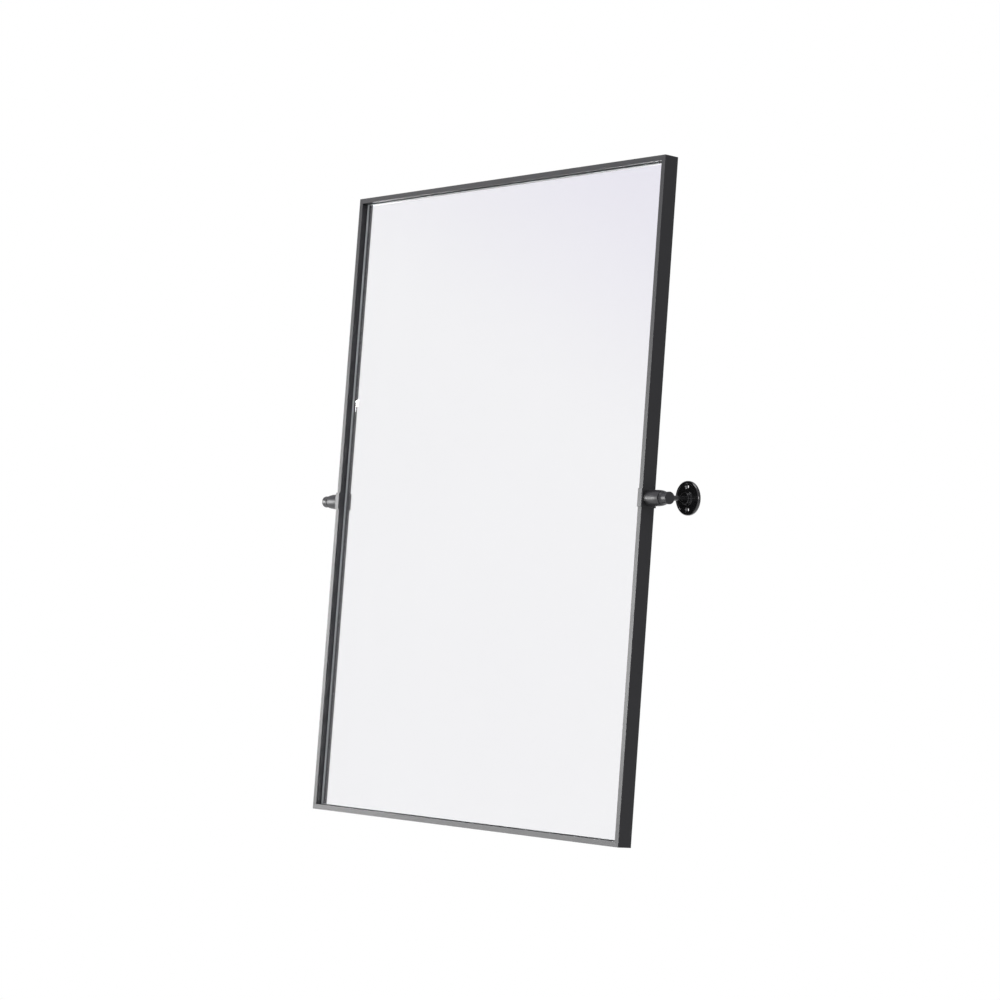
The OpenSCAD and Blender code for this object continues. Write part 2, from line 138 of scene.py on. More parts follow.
def makeWorld():
    # White to the eye; metal and glass see a white studio in front and a darker room behind
    world = bpy.data.worlds.new("whiteStudio")
    bpy.context.scene.world = world
    world.use_nodes = True
    tree = world.node_tree
    tree.nodes.clear()
    where = addNode(tree, "ShaderNodeTexCoord")
    split = addNode(tree, "ShaderNodeSeparateXYZ", {"Vector": where.outputs["Generated"]})
    upRight = addNode(tree, "ShaderNodeMath",
                      {0: split.outputs["X"], 1: studio["cornerLean"], 2: split.outputs["Z"]},
                      operation="MULTIPLY_ADD")
    cornerStart, cornerEnd = studio["cornerSpan"]
    falloff = addNode(tree, "ShaderNodeMapRange",
                      {"Value": upRight.outputs[0], "From Min": cornerStart, "From Max": cornerEnd},
                      interpolation_type="SMOOTHSTEP")
    front = addNode(tree, "ShaderNodeMix",
                    {"Factor": falloff.outputs["Result"], "A": toLinear(studio["frontWhite"]),
                     "B": toLinear(studio["cornerWhite"])}, data_type="RGBA")
    backStart, backEnd = studio["backSpan"]
    towardsWall = addNode(tree, "ShaderNodeMapRange",
                          {"Value": split.outputs["Y"], "From Min": backStart, "From Max": backEnd},
                          interpolation_type="SMOOTHSTEP")
    colour = addNode(tree, "ShaderNodeMix",
                     {"Factor": towardsWall.outputs["Result"], "A": front.outputs["Result"],
                      "B": toLinear(studio["backGrey"])}, data_type="RGBA")
    path = addNode(tree, "ShaderNodeLightPath")
    level = addNode(tree, "ShaderNodeMapRange",
                    {"Value": mirroredRays(tree, path), "To Min": studio["ambient"], "To Max": 1.0})
    room = addNode(tree, "ShaderNodeBackground",
                   {"Color": colour.outputs["Result"], "Strength": level.outputs["Result"]})
    seen = addNode(tree, "ShaderNodeBackground", {"Color": (1, 1, 1, 1), "Strength": 1.0})
    both = addNode(tree, "ShaderNodeMixShader",
                   {0: path.outputs["Is Camera Ray"], 1: room.outputs[0], 2: seen.outputs[0]})
    addNode(tree, "ShaderNodeOutputWorld", {"Surface": both.outputs[0]})


def makeFloor():
    # Pale paper that only shows the shadow: its own light fills it up to white
    mesh = bpy.data.meshes.new("paleFloor")
    bm = bmesh.new()
    bmesh.ops.create_circle(bm, cap_ends=True, segments=64, radius=studio["floorRadius"])
    bm.to_mesh(mesh)
    bm.free()
    floor = link(bpy.data.objects.new("paleFloor", mesh))
    floor.location = (0, 0, pivot.z - studio["floorBelowPivot"])
    material = bpy.data.materials.new("palePaper")
    material.use_nodes = True
    tree = material.node_tree
    tree.nodes.clear()
    paper = addNode(tree, "ShaderNodeBsdfDiffuse", {"Color": (*[studio["floorAlbedo"]] * 3, 1)})
    path = addNode(tree, "ShaderNodeLightPath")
    seen = addNode(tree, "ShaderNodeMath",
                   {0: path.outputs["Is Camera Ray"], 1: mirroredRays(tree, path)}, operation="MAXIMUM")
    strength = addNode(tree, "ShaderNodeMath", {0: seen.outputs[0], 1: studio["floorLift"]},
                       operation="MULTIPLY")
    lift = addNode(tree, "ShaderNodeEmission", {"Strength": strength.outputs[0]})
    both = addNode(tree, "ShaderNodeAddShader", {0: paper.outputs[0], 1: lift.outputs[0]})
    addNode(tree, "ShaderNodeOutputMaterial", {"Surface": both.outputs[0]})
    mesh.materials.append(material)


def makeLights():
    for name, (place, target, width, height, watts) in softboxes.items():
        data = bpy.data.lights.new(name, "AREA")
        data.shape = "RECTANGLE"
        data.size = width
        data.size_y = height
        data.energy = watts
        lamp = link(bpy.data.objects.new(name, data))
        lamp.location = pivot + Vector(place)
        facing = Vector(target) - Vector(place)
        lamp.rotation_euler = facing.to_track_quat("-Z", "Y").to_euler()


bpy.context.scene.view_settings.view_transform = "Standard"
makeCamera()
makeWorld()
makeFloor()
makeLights()
print("studio: camera, world, floor and lights are in place")


# Each finish has a dictionary: the two ends of its colours and roughness, its patterns' real sizes, and
# what its shader's sockets hold
noiseSpan = (0.3, 0.7)  # where nearly all of a noise pattern's values lie


def newFinish(name):
    material = bpy.data.materials.new(name)
    material.use_nodes = True
    tree = material.node_tree
    tree.nodes.clear()
    return material, tree, addNode(tree, "ShaderNodeTexCoord").outputs["Object"]


def shadeFinish(tree, finish, pattern=None, relief=None, colour=None):
    # Colours and roughness follow the pattern from end to end; the relief lifts the surface
    sockets = dict(finish["sockets"])
    if "colours" in finish:
        dark, light = finish["colours"]
        colour = addNode(tree, "ShaderNodeMix",
                         {"Factor": pattern, "A": toLinear(dark), "B": toLinear(light)}, data_type="RGBA")
    if colour:
        sockets["Base Color"] = colour.outputs["Result"]
    if "roughness" in finish:
        low, high = finish["roughness"]
        start, end = finish.get("span", noiseSpan)
        spread = addNode(tree, "ShaderNodeMapRange",
                         {"Value": pattern, "From Min": start, "From Max": end,
                          "To Min": low, "To Max": high})
        sockets["Roughness"] = spread.outputs["Result"]
    if relief:
        lift = addNode(tree, "ShaderNodeBump",
                       {"Height": relief, "Strength": 1.0, "Distance": finish["reliefMm"] * mm})
        sockets["Normal"] = lift.outputs["Normal"]
    shader = addNode(tree, "ShaderNodeBsdfPrincipled", sockets)
    addNode(tree, "ShaderNodeOutputMaterial", {"Surface": shader.outputs[0]})


powderCoat = {"colours": ("#1e1e20", "#272729"), "roughness": (0.39, 0.43), "mottleMm": 38.0,
              "peelMm": 1.1, "reliefMm": 0.012, "sockets": {"IOR": 1.45}}


def satinPowderCoat():
    # Black polyester powder, oven cured on aluminium: an even satin with a faint orange peel
    material, tree, where = newFinish("satinBlackPowderCoat")
    mottle = addNode(tree, "ShaderNodeTexNoise",
                     {"Vector": where, "Scale": 1 / (powderCoat["mottleMm"] * mm), "Detail": 3.0})
    peel = addNode(tree, "ShaderNodeTexNoise",
                   {"Vector": where, "Scale": 1 / (powderCoat["peelMm"] * mm), "Detail": 2.0})
    shadeFinish(tree, powderCoat, mottle.outputs["Fac"], peel.outputs["Fac"])
    return material


turnedCoat = {"colours": ("#1e1e20", "#262628"), "roughness": (0.36, 0.41), "mottleMm": 9.0,
              "ringMm": 0.35, "ringSquash": 0.02, "reliefMm": 0.004, "sockets": {"IOR": 1.48}}


def turnedBlackCoat():
    # Steel turned on a lathe and powder coated black: a satin over faint tool rings
    material, tree, where = newFinish("blackCoatOnTurnedSteel")
    squash = turnedCoat["ringSquash"]
    across = addNode(tree, "ShaderNodeMapping", {"Vector": where, "Scale": (1, squash, squash)})
    rings = addNode(tree, "ShaderNodeTexNoise",
                    {"Vector": across.outputs["Vector"], "Scale": 1 / (turnedCoat["ringMm"] * mm),
                     "Detail": 1.0})
    mottle = addNode(tree, "ShaderNodeTexNoise",
                     {"Vector": where, "Scale": 1 / (turnedCoat["mottleMm"] * mm), "Detail": 3.0})
    shadeFinish(tree, turnedCoat, mottle.outputs["Fac"], rings.outputs["Fac"])
    return material


blackLacquer = {"colours": ("#101011", "#151516"), "roughness": (0.16, 0.24), "flowMm": 6.0, "reliefMm": 0.02,
                "sockets": {"IOR": 1.5, "Coat Weight": 0.4, "Coat Roughness": 0.06}}


def glossLacquer():
    # Gloss black lacquer over a spun rosette: a deep black with sharp highlights
    material, tree, where = newFinish("glossBlackLacquer")
    flow = addNode(tree, "ShaderNodeTexNoise",
                   {"Vector": where, "Scale": 1 / (blackLacquer["flowMm"] * mm), "Detail": 2.0})
    shadeFinish(tree, blackLacquer, flow.outputs["Fac"], flow.outputs["Fac"])
    return material


blackOxide = {"colours": ("#26262a", "#3a3a3e"), "roughness": (0.4, 0.55), "stainMm": 1.5,
              "sockets": {"Metallic": 0.8}}


def blackSpringSteel():
    # Hardened steel with black oxide: dark metal with a dry oil sheen
    material, tree, where = newFinish("blackOxideSpringSteel")
    stain = addNode(tree, "ShaderNodeTexNoise",
                    {"Vector": where, "Scale": 1 / (blackOxide["stainMm"] * mm), "Detail": 3.0})
    shadeFinish(tree, blackOxide, stain.outputs["Fac"])
    return material


zinc = {"colours": ("#b9bcc0", "#d3d6da"), "roughness": (0.26, 0.4), "span": (0.0, 1.0), "crystalMm": 0.7,
        "sockets": {"Metallic": 1.0}}


def zincPlate():
    # Bright zinc plate on steel: cool grey with a crystalline variation
    material, tree, where = newFinish("brightZincPlate")
    crystals = addNode(tree, "ShaderNodeTexVoronoi", {"Vector": where, "Scale": 1 / (zinc["crystalMm"] * mm)})
    cell = addNode(tree, "ShaderNodeSeparateXYZ", {"Vector": crystals.outputs["Color"]})
    shadeFinish(tree, zinc, cell.outputs["X"])
    return material


keyCasting = {"colours": ("#9c9fa3", "#c0c3c7"), "roughness": (0.42, 0.6), "flowMm": 3.0, "reliefMm": 0.03,
              "sockets": {"Metallic": 1.0}}


def castKey():
    # Die-cast aluminium: a grey skin with fine flow lines
    material, tree, where = newFinish("dieCastAluminium")
    flow = addNode(tree, "ShaderNodeTexNoise",
                   {"Vector": where, "Scale": 1 / (keyCasting["flowMm"] * mm), "Detail": 6.0})
    shadeFinish(tree, keyCasting, flow.outputs["Fac"], flow.outputs["Fac"])
    return material


clearGlass = {"rippleMm": 260.0, "reliefMm": 0.02,
              "sockets": {"Base Color": toLinear("#fbfcfc"), "Roughness": 0.0, "IOR": 1.52,
                          "Transmission Weight": 1.0}}


def floatGlass():
    # Clear float glass, polished: it shows only by its reflection and its edges
    material, tree, where = newFinish("clearFloatGlass")
    ripple = addNode(tree, "ShaderNodeTexNoise",
                     {"Vector": where, "Scale": 1 / (clearGlass["rippleMm"] * mm), "Detail": 1.0})
    shadeFinish(tree, clearGlass, relief=ripple.outputs["Fac"])
    return material


seamedEdge = {"colours": ("#b4bab8", "#d4d9d7"), "roughness": (0.5, 0.7), "gritMm": 0.4, "reliefMm": 0.05,
              "sockets": {"IOR": 1.52, "Transmission Weight": 0.35}}


def groundEdge():
    # The seamed edge of the pane, ground matt: pale grey-green where light gathers in it
    material, tree, where = newFinish("groundGlassEdge")
    grit = addNode(tree, "ShaderNodeTexNoise",
                   {"Vector": where, "Scale": 1 / (seamedEdge["gritMm"] * mm), "Detail": 3.0})
    shadeFinish(tree, seamedEdge, grit.outputs["Fac"], grit.outputs["Fac"])
    return material


silver = {"colours": ("#f5f4f6", "#f7f6f8"), "cloudMm": 300.0, "sockets": {"Metallic": 1.0, "Roughness": 0.0}}


def silverCoat():
    # Wet-deposited silver behind the glass: a true mirror, neutral with a trace of blue
    material, tree, where = newFinish("depositedSilver")
    cloud = addNode(tree, "ShaderNodeTexNoise",
                    {"Vector": where, "Scale": 1 / (silver["cloudMm"] * mm), "Detail": 1.0})
    shadeFinish(tree, silver, cloud.outputs["Fac"])
    return material


blackBoard = {"fibreColours": ("#242322", "#3a3836"), "patchColours": ("#211f1e", "#403d3a"),
              "roughness": (0.68, 0.85), "fibreMm": 1.4, "fibreSquash": 0.35, "patchMm": 70.0,
              "patchShare": 0.25, "reliefMm": 0.08, "sockets": {}}


def hardboard():
    # Pressed fibreboard, painted matt black: its short fibres still show through the thin coat
    material, tree, where = newFinish("blackPaintedHardboard")
    along = addNode(tree, "ShaderNodeMapping",
                    {"Vector": where, "Scale": (blackBoard["fibreSquash"], 1, 1)})
    fibres = addNode(tree, "ShaderNodeTexNoise",
                     {"Vector": along.outputs["Vector"], "Scale": 1 / (blackBoard["fibreMm"] * mm),
                      "Detail": 8.0})
    patches = addNode(tree, "ShaderNodeTexNoise",
                      {"Vector": where, "Scale": 1 / (blackBoard["patchMm"] * mm), "Detail": 3.0})
    contrast = addNode(tree, "ShaderNodeMapRange",
                       {"Value": fibres.outputs["Fac"], "From Min": noiseSpan[0], "From Max": noiseSpan[1]})
    darkFibre, lightFibre = blackBoard["fibreColours"]
    grain = addNode(tree, "ShaderNodeMix",
                    {"Factor": contrast.outputs["Result"], "A": toLinear(darkFibre),
                     "B": toLinear(lightFibre)}, data_type="RGBA")
    darkPatch, lightPatch = blackBoard["patchColours"]
    cloud = addNode(tree, "ShaderNodeMix",
                    {"Factor": patches.outputs["Fac"], "A": toLinear(darkPatch), "B": toLinear(lightPatch)},
                    data_type="RGBA")
    paint = addNode(tree, "ShaderNodeMix",
                    {"Factor": blackBoard["patchShare"], "A": grain.outputs["Result"],
                     "B": cloud.outputs["Result"]}, data_type="RGBA")
    shadeFinish(tree, blackBoard, fibres.outputs["Fac"], fibres.outputs["Fac"], paint)
    return material


greyFoam = {"colours": ("#4c4f52", "#76797c"), "poreMm": 0.5, "reliefMm": 0.1, "sockets": {"Roughness": 0.92}}


def closedCellFoam():
    # Grey closed-cell foam: matt with fine pores
    material, tree, where = newFinish("closedCellFoam")
    pores = addNode(tree, "ShaderNodeTexVoronoi", {"Vector": where, "Scale": 1 / (greyFoam["poreMm"] * mm)})
    shadeFinish(tree, greyFoam, pores.outputs["Distance"], pores.outputs["Distance"])
    return material


blockRubber = {"colours": ("#19191a", "#2b2b2c"), "roughness": (0.65, 0.85), "dustMm": 1.2, "reliefMm": 0.03,
               "sockets": {}}


def settingRubber():
    # Moulded neoprene: black, dry and slightly dusty
    material, tree, where = newFinish("mouldedNeoprene")
    dust = addNode(tree, "ShaderNodeTexNoise",
                   {"Vector": where, "Scale": 1 / (blockRubber["dustMm"] * mm), "Detail": 3.0})
    shadeFinish(tree, blockRubber, dust.outputs["Fac"], dust.outputs["Fac"])
    return material


washerNylon = {"colours": ("#cfccc2", "#e0ddd4"), "roughness": (0.4, 0.52), "hazeMm": 2.0,
               "sockets": {"Subsurface Weight": 0.1, "Subsurface Radius": (0.001, 0.001, 0.0008)}}


def naturalNylon():
    # Natural nylon, turned from bar: waxy off-white
    material, tree, where = newFinish("naturalNylon")
    haze = addNode(tree, "ShaderNodeTexNoise",
                   {"Vector": where, "Scale": 1 / (washerNylon["hazeMm"] * mm), "Detail": 3.0})
    shadeFinish(tree, washerNylon, haze.outputs["Fac"])
    return material


finishes = {
    "frame_powder_coat": satinPowderCoat(),
    "bracket_powder_coat": turnedBlackCoat(),
    "rosette_gloss_black": glossLacquer(),
    "black_spring_steel": blackSpringSteel(),
    "plated_steel": zincPlate(),
    "die_cast_key": castKey(),
    "silvered_glass": silverCoat(),
    "fibreboard": hardboard(),
    "foam": closedCellFoam(),
    "rubber_block": settingRubber(),
    "nylon": naturalNylon(),
}

for part in frame["record"]["subparts"]:
    mesh = frame["nodes"][part["node"]].data
    mesh.materials.clear()
    mesh.materials.append(finishes[part["material_slot"]])
print("finishes: every carried-over node has its own")


def handOver(piece, body, slot, *nodes):
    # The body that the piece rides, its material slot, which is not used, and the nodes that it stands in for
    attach(piece, body)
    if nodes:
        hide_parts(*nodes)


def bakeModifiers(piece):
    # Turns what the modifiers make into the piece's plain mesh
    bpy.context.view_layer.update()
    shaped = piece.evaluated_get(bpy.context.evaluated_depsgraph_get())
    mesh = bpy.data.meshes.new_from_object(shaped)
    piece.modifiers.clear()
    piece.data = mesh
    mesh.name = piece.name
    return piece


merging = {"weldMm": 0.001, "flatDeg": 0.2}  # triangles that turn less than this become one face


def mergedSkin(nodeName):
    # The node's loose triangles as one skin of flat faces
    bm = bmesh.new()
    bm.from_mesh(frame["nodes"][nodeName].data)
    bmesh.ops.remove_doubles(bm, verts=bm.verts, dist=merging["weldMm"] * mm)
    bmesh.ops.dissolve_limit(bm, angle_limit=math.radians(merging["flatDeg"]), verts=bm.verts, edges=bm.edges)
    return bm


edgeRounding = {
    "railMm": 0.45,
    "saddleMm": 0.5,
    "sharpDeg": 40,  # an edge that turns more than this is rounded
    "segments": 3,
}


def roundedCopy(nodeName, pieceName, radiusMm, finish, skipEdge=None):
    # The node's shape with its sharp edges rounded, as the real section's are
    bm = mergedSkin(nodeName)
    weight = bm.edges.layers.float.new("bevel_weight_edge")
    for edge in bm.edges:
        if len(edge.link_faces) == 2 and edge.calc_face_angle(0) > math.radians(edgeRounding["sharpDeg"]):
            edge[weight] = 0.0 if skipEdge and skipEdge(edge) else 1.0
    mesh = bpy.data.meshes.new(pieceName)
    bm.to_mesh(mesh)
    bm.free()
    for face in mesh.polygons:
        face.use_smooth = True
    piece = link(bpy.data.objects.new(pieceName, mesh))
    bevel = piece.modifiers.new("roundedEdges", "BEVEL")
    bevel.limit_method = "WEIGHT"
    bevel.width = radiusMm * mm
    bevel.segments = edgeRounding["segments"]
    flatten = piece.modifiers.new("flatFaces", "WEIGHTED_NORMAL")
    flatten.mode = "FACE_AREA"
    flatten.weight = 100
    bakeModifiers(piece)
    piece.data.materials.clear()
    piece.data.materials.append(finish)
    return piece


mitre = {"slack": 0.1, "leastSlope": 0.5}  # what tells a face at 45 degrees, in parts of its unit normal


def isMitreEdge(edge):
    # The mitred end faces lie at 45 degrees to the rails; their edges stay crisp, so the joint closes
    toUpright = leaning.inverted().to_3x3()
    for face in edge.link_faces:
        normal = toUpright @ face.normal
        atHalf = abs(abs(normal.x) - abs(normal.z)) < mitre["slack"]
        if atHalf and abs(normal.x) > mitre["leastSlope"]:
            return True
    return False


for nodeName in ("frame_top_rail", "frame_bottom_rail", "frame_left_stile", "frame_right_stile"):
    rail = roundedCopy(nodeName, nodeName + "_coated", edgeRounding["railMm"],
                       finishes["frame_powder_coat"], isMitreEdge)
    handOver(rail, "mirror", "frame_powder_coat", nodeName)

for side in sides:
    saddle = roundedCopy(side + "_saddle", side + "_saddle_pressed", edgeRounding["saddleMm"],
                         finishes["bracket_powder_coat"])
    handOver(saddle, "mirror", "bracket_powder_coat", side + "_saddle")
print("frame: four mitred rails and two saddles")


pane = {
    "arrisMm": 0.4,         # the ground chamfer along the pane's edges
    "silverMm": 0.12,       # how far the silver's front lies inside the pane's back
    "backCoatMm": 0.02,     # what closes the pane behind the silver
    "silverInsetMm": 0.3,   # how far the silver stops short of the pane's edges
    "silverArrisMm": 0.024,
    "flatNormal": 0.99,     # a face turned this far towards the front or back is one of the two flats
}


def nodeBoxOnMirror(nodeName):
    # Lowest and highest corners of a node in the mirror's own upright frame
    back = leaning.inverted()
    corners = [back @ v.co for v in frame["nodes"][nodeName].data.vertices]
    low = Vector([min(c[i] for c in corners) for i in range(3)])
    high = Vector([max(c[i] for c in corners) for i in range(3)])
    return low, high


def chamferedSheet(name, low, high, arrisMm, flatFinish, edgeFinish):
    # A sheet between two corners of the upright mirror, with its edges chamfered
    bm = bmesh.new()
    bmesh.ops.create_cube(bm, size=1.0)
    size = high - low
    middle = (low + high) / 2
    for v in bm.verts:
        v.co = Vector([middle[i] + v.co[i] * size[i] for i in range(3)])
    bmesh.ops.bevel(bm, geom=list(bm.edges), offset=arrisMm * mm, segments=1, affect="EDGES", profile=0.5)
    for face in bm.faces:
        face.material_index = 0 if abs(face.normal.y) > pane["flatNormal"] else 1
    bmesh.ops.transform(bm, matrix=leaning, verts=bm.verts)
    mesh = bpy.data.meshes.new(name)
    bm.to_mesh(mesh)
    bm.free()
    mesh.materials.append(flatFinish)
    mesh.materials.append(edgeFinish)
    return link(bpy.data.objects.new(name, mesh))


glassLow, glassHigh = nodeBoxOnMirror("mirror_glass")
inset = pane["silverInsetMm"] * mm
silverLow = Vector((glassLow.x + inset, glassHigh.y - pane["silverMm"] * mm, glassLow.z + inset))
silverHigh = Vector((glassHigh.x - inset, glassHigh.y - pane["backCoatMm"] * mm, glassHigh.z - inset))
clearPane = chamferedSheet("clearPane", glassLow, glassHigh, pane["arrisMm"], floatGlass(), groundEdge())
handOver(clearPane, "mirror", "silvered_glass", "mirror_glass")
silverSheet = chamferedSheet("silverSheet", silverLow, silverHigh, pane["silverArrisMm"],
                             finishes["silvered_glass"], finishes["silvered_glass"])
handOver(silverSheet, "mirror", "silvered_glass")
print("mirror: a clear pane with ground edges and the silver inside its back")


def fillet(corners, steps=5, longestCut=0.49):
    # Rounds an outline of (along, radius, corner radius) in millimetres; no cut takes half a side
    points = []
    last = len(corners) - 1
    for i, (along, radius, corner) in enumerate(corners):
        here = Vector((along, radius))
        if not corner or i in (0, last):
            points.append(here)
            continue
        before = Vector(corners[i - 1][:2]) - here
        after = Vector(corners[i + 1][:2]) - here
        half = before.angle(after) / 2
        cut = min(corner / math.tan(half), before.length * longestCut, after.length * longestCut)
        start = here + before.normalized() * cut
        end = here + after.normalized() * cut
        for k in range(steps + 1):
            t = k / steps
            points.append(start * (1 - t) ** 2 + here * 2 * t * (1 - t) + end * t ** 2)
    return points


def latheTree():
    # Spins an outline about Z: its X is the distance out from the core, its Y runs down the axis
    tree = bpy.data.node_groups.new("turnedOnLathe", "GeometryNodeTree")
    tree.interface.new_socket("Outline", in_out="INPUT", socket_type="NodeSocketGeometry")
    tree.interface.new_socket("Facets", in_out="INPUT", socket_type="NodeSocketInt")
    tree.interface.new_socket("Core Radius", in_out="INPUT", socket_type="NodeSocketFloat")
    tree.interface.new_socket("Weld", in_out="INPUT", socket_type="NodeSocketFloat")
    tree.interface.new_socket("Finish", in_out="INPUT", socket_type="NodeSocketMaterial")
    tree.interface.new_socket("Turned", in_out="OUTPUT", socket_type="NodeSocketGeometry")
    given = addNode(tree, "NodeGroupInput")
    outline = addNode(tree, "GeometryNodeMeshToCurve", {"Mesh": given.outputs["Outline"]})
    spindle = addNode(tree, "GeometryNodeCurvePrimitiveCircle",
                      {"Resolution": given.outputs["Facets"], "Radius": given.outputs["Core Radius"]})
    spun = addNode(tree, "GeometryNodeCurveToMesh",
                   {"Curve": spindle.outputs["Curve"], "Profile Curve": outline.outputs["Curve"]})
    poles = addNode(tree, "GeometryNodeMergeByDistance",
                    {"Geometry": spun.outputs["Mesh"], "Distance": given.outputs["Weld"]})
    real = addNode(tree, "GeometryNodeRealizeInstances", {"Geometry": poles.outputs["Geometry"]})
    coated = addNode(tree, "GeometryNodeSetMaterial",
                     {"Geometry": real.outputs["Geometry"], "Material": given.outputs["Finish"]})
    addNode(tree, "NodeGroupOutput", {"Turned": coated.outputs["Geometry"]})
    return tree


lathe = {
    "tree": latheTree(),
    "coreMm": 1.0,     # the radius of the circle that carries an outline round
    "weldMm": 0.0005,  # joins the points where an outline meets the axis
    "sharpDeg": 32,    # an edge that turns more than this stays crisp
    "clearMm": 1.0,    # how far a cutter stands out of what it cuts
}


def setInputs(modifier, values):
    # A modifier knows its inputs by their sockets' identifiers
    sockets = {item.name: item.identifier for item in modifier.node_group.interface.items_tree
               if item.in_out == "INPUT"}
    for name, value in values.items():
        modifier[sockets[name]] = value


def turned(name, profile, placed, finish=None, facets=96):
    # A turned piece from (along, radius) points; an outline that stays clear of the axis makes a ring
    edges = [(i, i + 1) for i in range(len(profile) - 1)]
    if profile[0][1] > 0:
        edges.append((len(profile) - 1, 0))
    outline = bpy.data.meshes.new(name)
    outline.from_pydata([((radius - lathe["coreMm"]) * mm, -along * mm, 0) for along, radius in profile],
                        edges, [])
    piece = link(bpy.data.objects.new(name, outline))
    modifier = piece.modifiers.new("turnedOnLathe", "NODES")
    modifier.node_group = lathe["tree"]
    setInputs(modifier, {"Facets": facets, "Core Radius": lathe["coreMm"] * mm,
                         "Weld": lathe["weldMm"] * mm})
    if finish:
        setInputs(modifier, {"Finish": finish})
    bakeModifiers(piece)
    bm = bmesh.new()
    bm.from_mesh(piece.data)
    bmesh.ops.transform(bm, matrix=placed, verts=bm.verts)
    bmesh.ops.recalc_face_normals(bm, faces=bm.faces)
    bm.to_mesh(piece.data)
    bm.free()
    for face in piece.data.polygons:
        face.use_smooth = True
    piece.data.set_sharp_from_angle(angle=math.radians(lathe["sharpDeg"]))
    return piece


def drill(piece, *cutters):
    # Cuts each cutter out of the piece
    for cutter in cutters:
        cut = piece.modifiers.new(cutter.name, "BOOLEAN")
        cut.operation = "DIFFERENCE"
        cut.solver = "EXACT"
        cut.object = cutter
    bakeModifiers(piece)
    for cutter in cutters:
        bpy.data.objects.remove(cutter)
    piece.data.set_sharp_from_angle(angle=math.radians(lathe["sharpDeg"]))


def cylinderCutter(name, radius, start, end, placed):
    return turned(name, [(start, 0), (start, radius), (end, radius), (end, 0)], placed, facets=48)


# Local Z of a turned piece along the pivot axis, outwards, or out of the wall
alongX = {side: Matrix.Translation(pivot) @ Matrix.Rotation(math.radians(90 * sign), 4, "Y")
          for side, sign in sides.items()}
outOfWall = Matrix.Rotation(math.radians(90), 4, "X")


def spanOnAxis(nodeName):
    # Where a node on the pivot axis starts and ends, counted outwards, and its radius, in millimetres
    low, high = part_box(nodeName)
    start, end = sorted((abs(low[0]) / mm, abs(high[0]) / mm))
    return start, end, (high[2] - low[2]) / 2 / mm


head = {
    "straightMm": 17.0, "tipMm": 22.0, "curveSteps": 14,  # straight next to the frame, then a soft taper
    "baseRoundMm": 0.8, "endRoundMm": 0.7,
    "boreMm": 8.1,
    "socketMm": 8.1,         # takes the post
    "socketBehindMm": 30.0,  # its cutter starts this far behind the pivot axis
    "socketSpareMm": 0.3,    # and ends this far past the post
}


def headProfile(side):
    start, end, outer = spanOnAxis(side + "_bracket_head")
    bore, tip = head["boreMm"] / 2, head["tipMm"] / 2
    corners = [(start, bore, 0), (start, outer, head["baseRoundMm"])]
    run = end - start - head["straightMm"]
    for i in range(head["curveSteps"]):
        s = i / head["curveSteps"]
        corners.append((start + head["straightMm"] + run * s, outer - (outer - tip) * s * s, 0))
    return fillet(corners + [(end, tip, head["endRoundMm"]), (end, bore, 0)])


knob = {
    "innerMm": 21.6, "waistMm": 18.2, "waistAtMm": 6.6, "tipMm": 18.6, "curveSteps": 12,
    "innerRoundMm": 0.5, "tipRoundMm": 0.9,
    "boreMm": 8.1, "boreDeepMm": 9.6,
}


def knobProfile(side):
    start, end, _ = spanOnAxis(side + "_clamp_knob")
    bore, floor = knob["boreMm"] / 2, start + knob["boreDeepMm"]
    inner, drop = knob["innerMm"] / 2, (knob["innerMm"] - knob["waistMm"]) / 2
    corners = [(floor, 0, 0), (floor, bore, 0), (start, bore, 0), (start, inner, knob["innerRoundMm"])]
    for i in range(1, knob["curveSteps"] + 1):
        s = i / knob["curveSteps"]
        corners.append((start + knob["waistAtMm"] * s, inner - drop * (1 - (1 - s) ** 2), 0))
    return fillet(corners + [(end, knob["tipMm"] / 2, knob["tipRoundMm"]), (end, 0, 0)])


post = {"radiusMm": 4.0, "endRoundMm": 0.5}


def postProfile(side):
    low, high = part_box(side + "_bracket_post")
    inner, outer = -high[1] / mm, -low[1] / mm  # heights above the wall
    radius, corner = post["radiusMm"], post["endRoundMm"]
    return fillet([(inner, 0, 0), (inner, radius, corner), (outer, radius, corner), (outer, 0, 0)])


rosette = {
    "rimMm": 25.5, "thickMm": 4.5, "bevelMm": 1.2, "rimWideMm": 3.4, "dishMm": 0.5,
    "stepMm": 11.0, "stepHighMm": 5.0, "hubMm": 9.0, "hubHighMm": 9.4,
    "boreMm": 4.05, "boreFloorMm": 1.8,
    "backRoundMm": 0.3, "rimRoundMm": 0.5, "faceRoundMm": 0.7, "dishRoundMm": 0.4,
    "stepRootMm": 0.3, "stepRoundMm": 0.6, "hubRootMm": 0.5, "hubRoundMm": 0.8, "mouthRoundMm": 0.2,
    "screwSpacingMm": 34.0, "holeMm": 4.2, "sinkMm": 8.4,
    "setScrewMm": 3.1, "setHoleMm": (-12.0, -2.0),  # from below the hub into its bore
}


